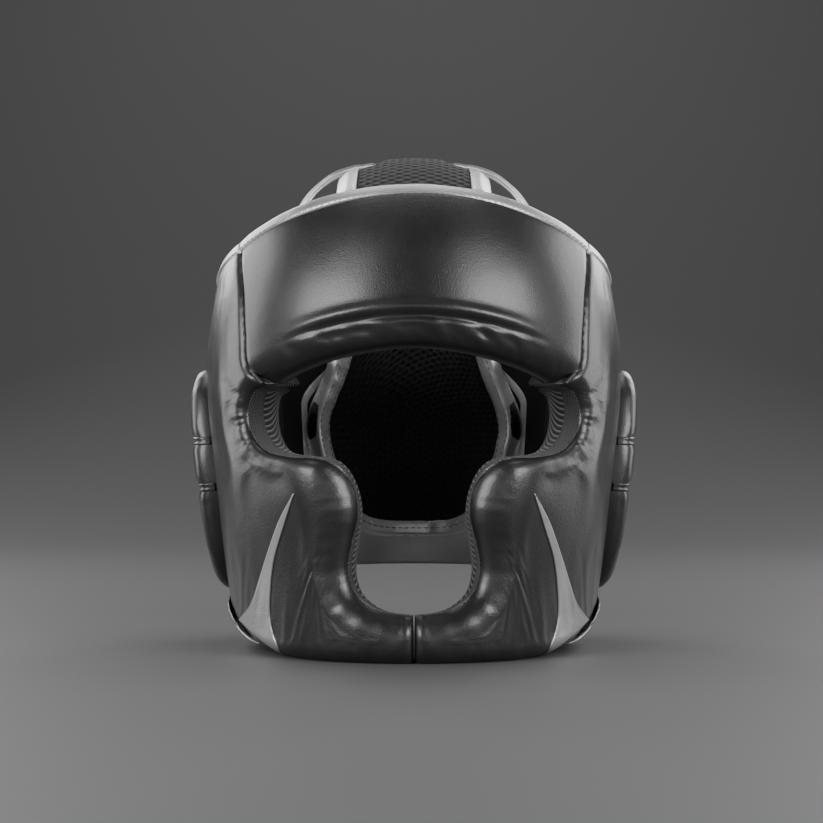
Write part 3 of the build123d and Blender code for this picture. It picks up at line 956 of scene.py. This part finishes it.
def build_ear_bands(name):
    """Two bands over each limb of the roll, each with a raised rim along both edges."""
    points, faces = [], []
    for height in BAND_HEIGHTS:
        for side in (-1, 1):
            steps, wide = 30, 9
            first = len(points)
            offsets = np.linspace(-2.4, 2.4, wide)
            ridge = np.array([0.0, 0.75, 0.95, 0.45, 0.35, 0.45, 0.95, 0.75, 0.0])
            for i in range(steps):
                phi = np.pi * (i + 0.5) / steps
                across = 0.5 - 0.5 * math.cos(phi)
                z = height + offsets
                half = [mix(hole, rim, across) for hole, rim in zip(EAR_HOLE, EAR_RIM)]
                cosine = np.clip((z - EAR_Z) / half[1], -1, 1)
                y = EAR_Y + side * half[0] * np.sqrt(1 - cosine**2)
                lift = ROLL * math.sin(phi) ** 0.62 * (1 - 0.13 * pinch(z)) - 0.8 + ridge + 0.15
                place, _ = ear_places(y, z, lift)
                under, _ = ear_places(y, z, lift - ridge - 0.9)
                points.extend(place)
                points.extend(under[::-1])
            around = 2 * wide
            for i in range(steps - 1):
                a, b = first + i * around, first + (i + 1) * around
                for j in range(around):
                    k = (j + 1) % around
                    faces.append((a + j, a + k, b + k, b + j) if side < 0 else (a + j, b + j, b + k, a + k))
            cap = tuple(first + j for j in range(around))
            faces.append(cap if side > 0 else cap[::-1])
            cap = tuple(first + (steps - 1) * around + j for j in range(around))
            faces.append(cap[::-1] if side > 0 else cap)
    return make_object(name, points, faces, [BLACK])


both(build_ear_bands, "ear_band_loops", "shell", "black_trim", "ear_bands")


def build_ear_vent(name):
    """Mesh over the vent, a little domed."""
    rings, turns = 14, 60
    radius = np.linspace(0.0, 1.06, rings)[:, None]
    angle = np.linspace(0, 2 * np.pi, turns, endpoint=False)[None, :]
    y, z = EAR_Y + EAR_HOLE[0] * radius * np.sin(angle), EAR_Z + EAR_HOLE[1] * radius * np.cos(angle)
    width, depth, middle = girth(z)
    form_x = width * np.sqrt(1 - ((y - middle) / depth) ** 2)
    base = np.stack([form_x, y, z], -1)
    out = normals(base)
    top = base + out * (PAD + 1.2 + 1.4 * (1 - radius**2))[..., None]
    low = base + out * (PAD - 0.5)
    points = np.concatenate([top.reshape(-1, 3), low.reshape(-1, 3)])
    size = rings * turns
    uv = np.stack([y, z], -1).reshape(-1, 2)
    faces = []
    for i in range(rings - 1):
        for j in range(turns):
            k = (j + 1) % turns
            quad = (i * turns + j, (i + 1) * turns + j, (i + 1) * turns + k, i * turns + k)
            faces.append(quad)
            faces.append(tuple(size + q for q in quad[::-1]))
    last = (rings - 1) * turns
    for j in range(turns):
        k = (j + 1) % turns
        faces.append((last + k, last + j, size + last + j, size + last + k))
    return make_object(name, points, faces, [MESH], None, np.concatenate([uv, uv]))


both(build_ear_vent, "ear_vent", "shell", "spacer_mesh", "ear_mesh")


# ---------------------------------------------------------------- neck bands

RIM_TURNS, RIM_HEIGHTS = np.array(RIM[::-1]).T


def over_rim(turn, height, lift, hug):
    """Points that lie over the side pad's lower edge, or hang from it, raised by lift.

    hug is how much they follow the pad's rounding and fall inwards under it, 0 to 1.
    """
    above = height - np.interp(turn, RIM_TURNS, RIM_HEIGHTS)
    outside = PAD - hug * round_drop(np.maximum(above, 0.0), 10.0) + 0.3 * hug * np.minimum(above, 0.0)
    base = at_turn(turn, height)
    normal = normals(base)
    return base + normal * (outside + lift)[..., None], normal


def rim_sheet(name, low, high, lift, hug, thickness, material, wave=None):
    """Sheet over the rim between two curves of (turn, height)."""
    share = np.linspace(0, 1, 90)
    low, high = along(low, share), along(high, share)
    up = np.linspace(1, 0, 18)[:, None, None]
    flat = mix(low[None], high[None], up)
    # Loose along its middle, close to the pad at its two ends
    loose = np.sin(np.pi * share)[None, :] ** 0.5
    lift = lift + 2.4 * (1 - hug) * loose
    places, normal = over_rim(flat[..., 0], flat[..., 1], lift, mix(1.0, hug, loose))
    return plate(name, places, normal, thickness, 0.45 * thickness, material, sink=0.0, wave=wave)


def build_neck_band(name):
    turns = (60.0, 68.0, 78.0, 92.0, 102.0, 110.0, 116.6)
    low = list(zip(turns, (8.2, 9.0, 10.0, 11.0, 14.0, 21.0, 31.0)))
    high = list(zip(turns, (9.6, 15.0, 20.5, 25.0, 31.0, 41.0, 55.0)))
    return rim_sheet(name, low, high, 0.3, 0.62, 2.2, SILVER)


both(build_neck_band, "neck_band_strap", "shell", "silver_leather", "neck_band")


def build_neck_gusset(name):
    """Folded leather between the pad's lower edge and the neck band."""
    turns = (66.0, 72.0, 79.0, 88.0, 98.0)
    low = list(zip(turns, (12.5, 14.5, 18.5, 23.0, 28.0)))
    high = list(zip(turns, (14.6, 20.5, 25.5, 30.5, 34.5)))

    def pleats(down, across):
        return 0.55 * np.abs(np.sin(across / 4.3 + 0.25 * down)) - 0.3

    return rim_sheet(name, low, high, 0.8, 0.7, 1.0, BLACK, pleats)


both(build_neck_gusset, "neck_gusset_fold", "shell", "black_leather")


# ---------------------------------------------------------------- tongue

TONGUE_WIDTHS = [(38.0,), (38.0,), (38.0,), (38.0,), (39.5,), (46.5,), (59.0,), (57.5,), (48.0,)]
CROWN_SHARE, FRONT_Z, END_Z = 0.69, 244.5, 62.0
# Middle of the crown straps where they cross the tongue
STRAP_Y = -13.0


def tongue_points(share, x):
    """Head form points under the tongue at shares of its run and places across it."""
    width, depth, middle = girth(WIDEST)
    aside = x / width
    start = -np.arctan2(np.sqrt(dome(FRONT_Z) ** 2 - aside**2), rise(FRONT_Z))
    angle = mix(start, np.pi / 2, np.minimum(share / CROWN_SHARE, 1.0))
    rising = np.maximum(0.0, np.cos(angle))
    reach = np.ones_like(angle)
    for _ in range(15):
        flat = np.sqrt((aside / reach) ** 2 + np.sin(angle) ** 2)
        reach = (flat**POWER + rising**POWER) ** (-1 / POWER)
    top = WIDEST + (TOP - WIDEST) * reach * rising
    over = np.stack([x + 0 * share, middle + depth * reach * np.sin(angle), top], -1)
    down = np.maximum(0.0, (share - CROWN_SHARE) / (1 - CROWN_SHARE))
    z = mix(WIDEST, END_Z, down) + 24.0 * (np.abs(x) / 48.0) ** 4 * down**2
    width, depth, middle = girth(z)
    behind = np.stack([x + 0 * share, middle + depth * np.sqrt(1 - (x / width) ** 2), z], -1)
    return np.where((share > CROWN_SHARE)[..., None], behind, over)


def tongue_half(share):
    return along(TONGUE_WIDTHS, share)[..., 0]


tongue_rows = edge_shares(290.0, NEAR[:9], 200, NEAR[:9])
tongue_columns = edge_shares(90.0, NEAR[:9], 40, NEAR[:9])
tongue_x = (tongue_half(tongue_rows)[:, None] - 0.4) * (2 * tongue_columns[None] - 1)
tongue_base = tongue_points(tongue_rows[:, None] + 0 * tongue_x, tongue_x)


def tongue_shape(lift, d):
    """Thicker over the crown, with a cushion's swell."""
    from_side = np.minimum(d[2], d[3])
    crown = 1 - smooth(0.36, 0.5, tongue_rows)[:, None]
    under_strap = bell(tongue_base[..., 1], STRAP_Y, 13.0, 4)
    pressed = under_strap * smooth(14.0, 21.0, np.abs(tongue_base[..., 0]))
    lift = lift + 3.6 * crown * smooth(2, 16, from_side) * (1 - 0.95 * pressed)
    return lift + 0.4 * waves(tongue_base, 8, 45.0)


tongue = pillow("tongue_pad", tongue_base, 0.0, TONGUE, (3.0, 3.0, 3.0, 3.0), [BLACK, BLACK, MESH, MESH],
                displace=tongue_shape, inner_radii=(3.0, 3.0, 3.0, 3.0))
outer_rows = np.repeat(np.where((tongue_rows[:-1] < 0.43), 3, 0), len(tongue_columns) - 1)
# Free between its edges over the nape, on both faces
tongue_held = np.ones(len(tongue.data.vertices))
free = smooth(9.0, 14.0, edge_gap(tongue_base)) * smooth(0.38, 0.48, tongue_rows)[:, None]
tongue_held[:2 * free.size] = np.tile(1 - free.ravel(), 2)
puffed(tongue, tongue_held, 2.5, pressure=8.0)
index = np.zeros(len(tongue.data.polygons), dtype=int)
tongue.data.polygons.foreach_get("material_index", index)
index[: len(outer_rows)] = outer_rows
tongue.data.polygons.foreach_set("material_index", index)
settle(tongue, "tongue", "spacer_mesh", "crown_lining", "crown_foam", "crown_cover",
       "tongue_lining", "tongue_foam", "tongue_cover", fill=0.7)


def tongue_outline(inset):
    """Closed line round the tongue on the head form, set in from its edge by inset."""
    share = np.linspace(0.004, 0.996, 240)
    width = tongue_half(share) - inset
    down = tongue_points(share, width)
    bottom = tongue_points(np.full(70, 0.996), np.linspace(width[-1], -width[-1], 72)[1:-1])
    up = tongue_points(share[::-1], -width[::-1])
    front = tongue_points(np.full(50, 0.004), np.linspace(-width[0], width[0], 52)[1:-1])
    ring = np.concatenate([down, bottom, up, front])
    for _ in range(14):
        ring = (np.roll(ring, 1, 0) + 2 * ring + np.roll(ring, -1, 0)) / 4
    return ring


outline = tongue_outline(4.3)
outline = resampled(np.concatenate([outline, outline[:1]]), 1.6)[:-1]
outward = normals(outline)
section = rounded_box((-5.0, -6.8), (5.0, 6.9), 2.4, 5)
run = arc_lengths(outline[None], 1)[0]
pucker = 0.28 * np.sin(run / 2.6 + 2.0 * np.sin(run / 11.0)) * np.sin(run / 23.0)
sections = np.repeat(section[None], len(outline), 0)
sections[..., 1] *= 1 + pucker[:, None] / 6.8
middle_line = outline + outward * TONGUE / 2
tongue_binding = sweep("tongue_binding_trim", middle_line, outward, sections, TRIM, closed=True)
settle(tongue_binding, "tongue", "silver_leather", "left_tongue_binding", "right_tongue_binding",
       "tongue_front_binding", "tongue_rear_binding")
TONGUE_STITCHES = (
    ("tongue_inner_stitches", 6.6, -0.9, -1.0), ("tongue_edge_stitches", 1.9, -0.75, -1.0),
    ("tongue_outer_stitches", 6.6, 12.95, 1.0),
)
for name, inset, lift, facing in TONGUE_STITCHES:
    line = tongue_outline(inset)
    line = resampled(np.concatenate([line, line[:1]]), 1.6)
    out = normals(line)
    row = stitches(name, line + out * lift, out * facing, DARK_THREAD, pitch=4.0, length=2.7)
    settle(row, "tongue", "silver_leather")


def build_crown_trim(name):
    """Broad strip over the crown's edge, pressed down where the strap crosses it."""
    share = np.linspace(0.012, 0.375, 90)[:, None]
    x = np.linspace(27.5, 39.6, 18)[None, :]
    base = tongue_points(share + 0 * x, x + 0 * share)
    crossed = bell(base[..., 1], STRAP_Y, 14.0, 4)
    rise_mm = 3.0 * (1 - smooth(31, 38, x)) * (1 - 0.9 * crossed) - 3.4 * smooth(36.0, 39.6, x) ** 2
    return laid(name, base, TONGUE + 0.6 + rise_mm, 1.5, 0.8, TRIM, sink=1.0)


both(build_crown_trim, "crown_trim_strip", "tongue", "silver_leather", "crown_trim")


# ---------------------------------------------------------------- crown straps

# Lifts over the head form of the loop patch, the hook patch on it and the strap's end on that
LOOP_LIFT, HOOK_LIFT, STRAP_LIFT = 12.35, 13.15, 13.9


def strap_base(places, turns, rows=60, columns=16):
    """Head form points under a crown strap; places are ends of its run, 0 on the crown, and turns
    are where its edges come down on the side binding."""
    turn = np.linspace(turns[0], turns[1], columns)
    foot = at_turn(turn, side_top_z(turn) + 5.9)
    place = np.linspace(places[0], places[1], rows)[:, None]
    aside = mix(20.0, foot[None, :, 0], np.sin(np.radians(90 * place)))
    return on_dome(aside, foot[None, :, 1] + 0 * place)


def build_crown_strap(name):
    base = strap_base((0.0, 1.0), (70.0, 88.0))
    place = np.linspace(0.0, 1.0, len(base))[:, None]
    lift = STRAP_LIFT + 0.75 * smooth(0.06, 0.1, place) - 7.0 * np.sin(np.pi * smooth(0.17, 1.0, place))
    crumple = 0.5 * waves(base, 31, 16.0) * smooth(0.2, 0.4, place)
    return laid(name, base, lift + crumple, 2.4, 1.1, SILVER,
                wave=lambda down, across: -0.9 * (1 - smooth(3.0, 26.0, down)))


both(build_crown_strap, "crown_strap_web", "SIDE_crown_strap", "silver_leather", "crown_strap")


def build_crown_hook(name):
    return laid(name, strap_base((0.008, 0.08), (71.0, 87.0), 14), HOOK_LIFT, 0.8, 0.2, LINING)


both(build_crown_hook, "crown_hook_patch", "SIDE_crown_strap", "hook_and_loop", "crown_hook")


def build_crown_loop(name):
    return laid(name, strap_base((0.0, 0.085), (70.0, 88.0), 14), LOOP_LIFT, 0.75, 0.2, LINING, sink=0.6)


both(build_crown_loop, "crown_loop_patch", "tongue", "hook_and_loop", "crown_loop")


# ---------------------------------------------------------------- wings and closure

def wing_edge(z):
    """Turn of the wings' rear edge, which reaches over the tongue above its wide part."""
    return 138.8 + 13.0 * smooth(140.0, 170.0, z)


def build_wing(name):
    across = edge_shares(45.0, NEAR[:7], 14, NEAR[:5])[None, :]
    down = edge_shares(136.0, NEAR[:7], 40, NEAR[:7])[:, None]
    height = mix(mix(180.0, 168.0, across), 44.0, down)
    base = at_turn(mix(119.8, wing_edge(height), across), height)
    pad = pillow(name, base, WING[0], WING[1], (4.0, 4.0, 3.0, 2.0), [BLACK, BLACK, LINING],
                 displace=lambda lift, d: lift + 0.4 * waves(base, 9, 50.0))
    # Free on its outer face above the closure strap, held round its edges
    held = np.ones(len(pad.data.vertices))
    free = smooth(2.5, 7.0, edge_gap(base)) * smooth(84.0, 96.0, base[..., 2])
    held[:free.size] = 1 - free.ravel()
    return puffed(pad, held, 4.0, pressure=10.0)


both(build_wing, "wing_pad", "SIDE_wing", "black_leather",
     "wing_cover", "wing_foam", "wing_lining", fill=0.7)


def build_wing_binding(name):
    height = np.linspace(169.5, 43.0, 90)
    base = at_turn(wing_edge(height), height)
    out = normals(base)
    section = rounded_box((-4.4, -5.6), (4.4, 6.4), 2.3, 4)
    return sweep(name, base + out * (sum(WING) / 2), out, section, TRIM)


both(build_wing_binding, "wing_binding_trim", "SIDE_wing", "silver_leather", "wing_binding")


def build_wing_flap(name):
    """Thin leather that reaches from the wing's rear edge over the tongue."""
    height = np.linspace(165.0, 112.0, 30)[:, None]
    base = at_turn(wing_edge(height) + np.linspace(-2.0, 7.5, 12)[None, :], height)
    return laid(name, base, 13.6, 1.0, 0.4, BLACK)


both(build_wing_flap, "wing_inner_flap", "SIDE_wing", "black_leather")

# Lifts of what lies on the wings, of the hook patch on that and of the strap
ON_WING, ON_LOOP, OVER_HOOK = 24.95, 26.05, 27.1
CLOSURE_HEIGHTS = (43.0, 80.0)
# Name, body, slot, CAD node, turns, heights, grid, lift, thickness, rounding and material
CLOSURE = (
    ("closure_anchor_plate", "left_wing", "silver_leather", "closure_anchor",
     (121.0, 140.6), CLOSURE_HEIGHTS, (20, 24), ON_WING, 2.3, 1.0, STRAP),
    ("closure_loop_patch", "right_wing", "hook_and_loop", "closure_loop",
     (-139.5, -122.5), CLOSURE_HEIGHTS, (20, 20), ON_WING, 0.7, 0.2, LINING),
    ("closure_hook_patch", "closure", "hook_and_loop", "closure_hook",
     (221.5, 234.0), (44.5, 78.5), (20, 16), ON_LOOP, 0.75, 0.2, LINING),
    ("closure_strap_web", "closure", "silver_leather", "closure_strap",
     (142.2, 235.0), CLOSURE_HEIGHTS, (24, 110), OVER_HOOK, 2.4, 1.1, STRAP),
)
for name, body, slot_name, node, turns, heights, grid, lift, thickness, radius, material in CLOSURE:
    piece = laid(name, block(turns, heights, *grid), lift, thickness, radius, material)
    settle(piece, body, slot_name, node)


# ---------------------------------------------------------------- light, floor and camera

def area_light(name, place, target, size, power):
    data = bpy.data.lights.new(name, "AREA")
    data.shape = "RECTANGLE"
    data.size, data.size_y = size
    data.energy = power
    light = bpy.data.objects.new(name, data)
    light.location = place
    direction = Vector(target) - Vector(place)
    light.rotation_euler = direction.to_track_quat("-Z", "Y").to_euler()
    bpy.context.scene.collection.objects.link(light)


# Name, place, target, size and power, in metres and watts
LIGHTS = (
    ("key_top", (0.0, 0.1, 1.3), (0, 0, 0.15), (1.1, 0.6), 5.0),
    ("front_fill", (0.0, -1.7, 0.3), (0, 0, 0.14), (1.6, 0.5), 2.5),
    ("back_wall", (0.0, 1.0, 2.2), (0, 2.2, 0.9), (1.6, 0.4), 14.0),
)
SIDE_LIGHTS = (
    ("front", (0.84, -0.98, 0.95), (0, 0, 0.14), (0.6, 0.6), 2.2),
    ("low", (1.0, -0.85, 0.55), (0, 0, 0.1), (0.8, 0.6), 12.5),
    ("rim", (1.1, 0.35, 0.32), (0, 0, 0.14), (0.5, 1.1), 6.0),
    ("back", (0.8, 1.0, 0.8), (0, 0, 0.16), (0.6, 0.8), 8.5),
)
for light in LIGHTS:
    area_light(*light)
for name, (x, y, z), target, size, power in SIDE_LIGHTS:
    area_light(f"{name}_left", (-x, y, z), target, size, power)
    area_light(f"{name}_right", (x, y, z), target, size, power)

floor_material = Surface("studio_floor", 0.6, Base_Color=(*grey(0.085), 1.0)).material
floor_mesh = bpy.data.meshes.new("studio_floor")
# A level floor that curves up into the wall behind, as (y, z)
BEND_START, BEND = 1.0, 1.2
angles = np.linspace(0.1, math.pi / 2, 12)
curve = [(BEND_START + BEND * math.sin(a), BEND * (1 - math.cos(a))) for a in angles]
profile = [(-3.0, 0.0), (BEND_START, 0.0), *curve, (BEND_START + BEND, 4.0)]
vertices = [(x, y, z) for y, z in profile for x in (-4.0, 4.0)]
strips = [(2 * i, 2 * i + 1, 2 * i + 3, 2 * i + 2) for i in range(len(profile) - 1)]
floor_mesh.from_pydata(vertices, [], strips)
floor_mesh.polygons.foreach_set("use_smooth", [True] * len(floor_mesh.polygons))
floor_mesh.materials.append(floor_material)
floor = bpy.data.objects.new("studio_floor", floor_mesh)
bpy.context.scene.collection.objects.link(floor)

world = bpy.data.worlds.new("studio")
bpy.context.scene.world = world
world.use_nodes = True
world.node_tree.nodes["Background"].inputs["Color"].default_value = (0.5, 0.5, 0.5, 1.0)
world.node_tree.nodes["Background"].inputs["Strength"].default_value = 0.06

# Level with the eyes, 1.3 m in front of the pads
CAMERA_Y, CAMERA_Z = -1.427, 0.136
camera_data = bpy.data.cameras.new("camera")
camera_data.sensor_width = 36.0
camera_data.lens = 106.34
camera_data.shift_x = -0.003
camera = bpy.data.objects.new("camera", camera_data)
camera.location = (0.0, CAMERA_Y, CAMERA_Z)
camera.rotation_euler = (math.radians(90), 0, 0)
bpy.context.scene.collection.objects.link(camera)
bpy.context.scene.camera = camera
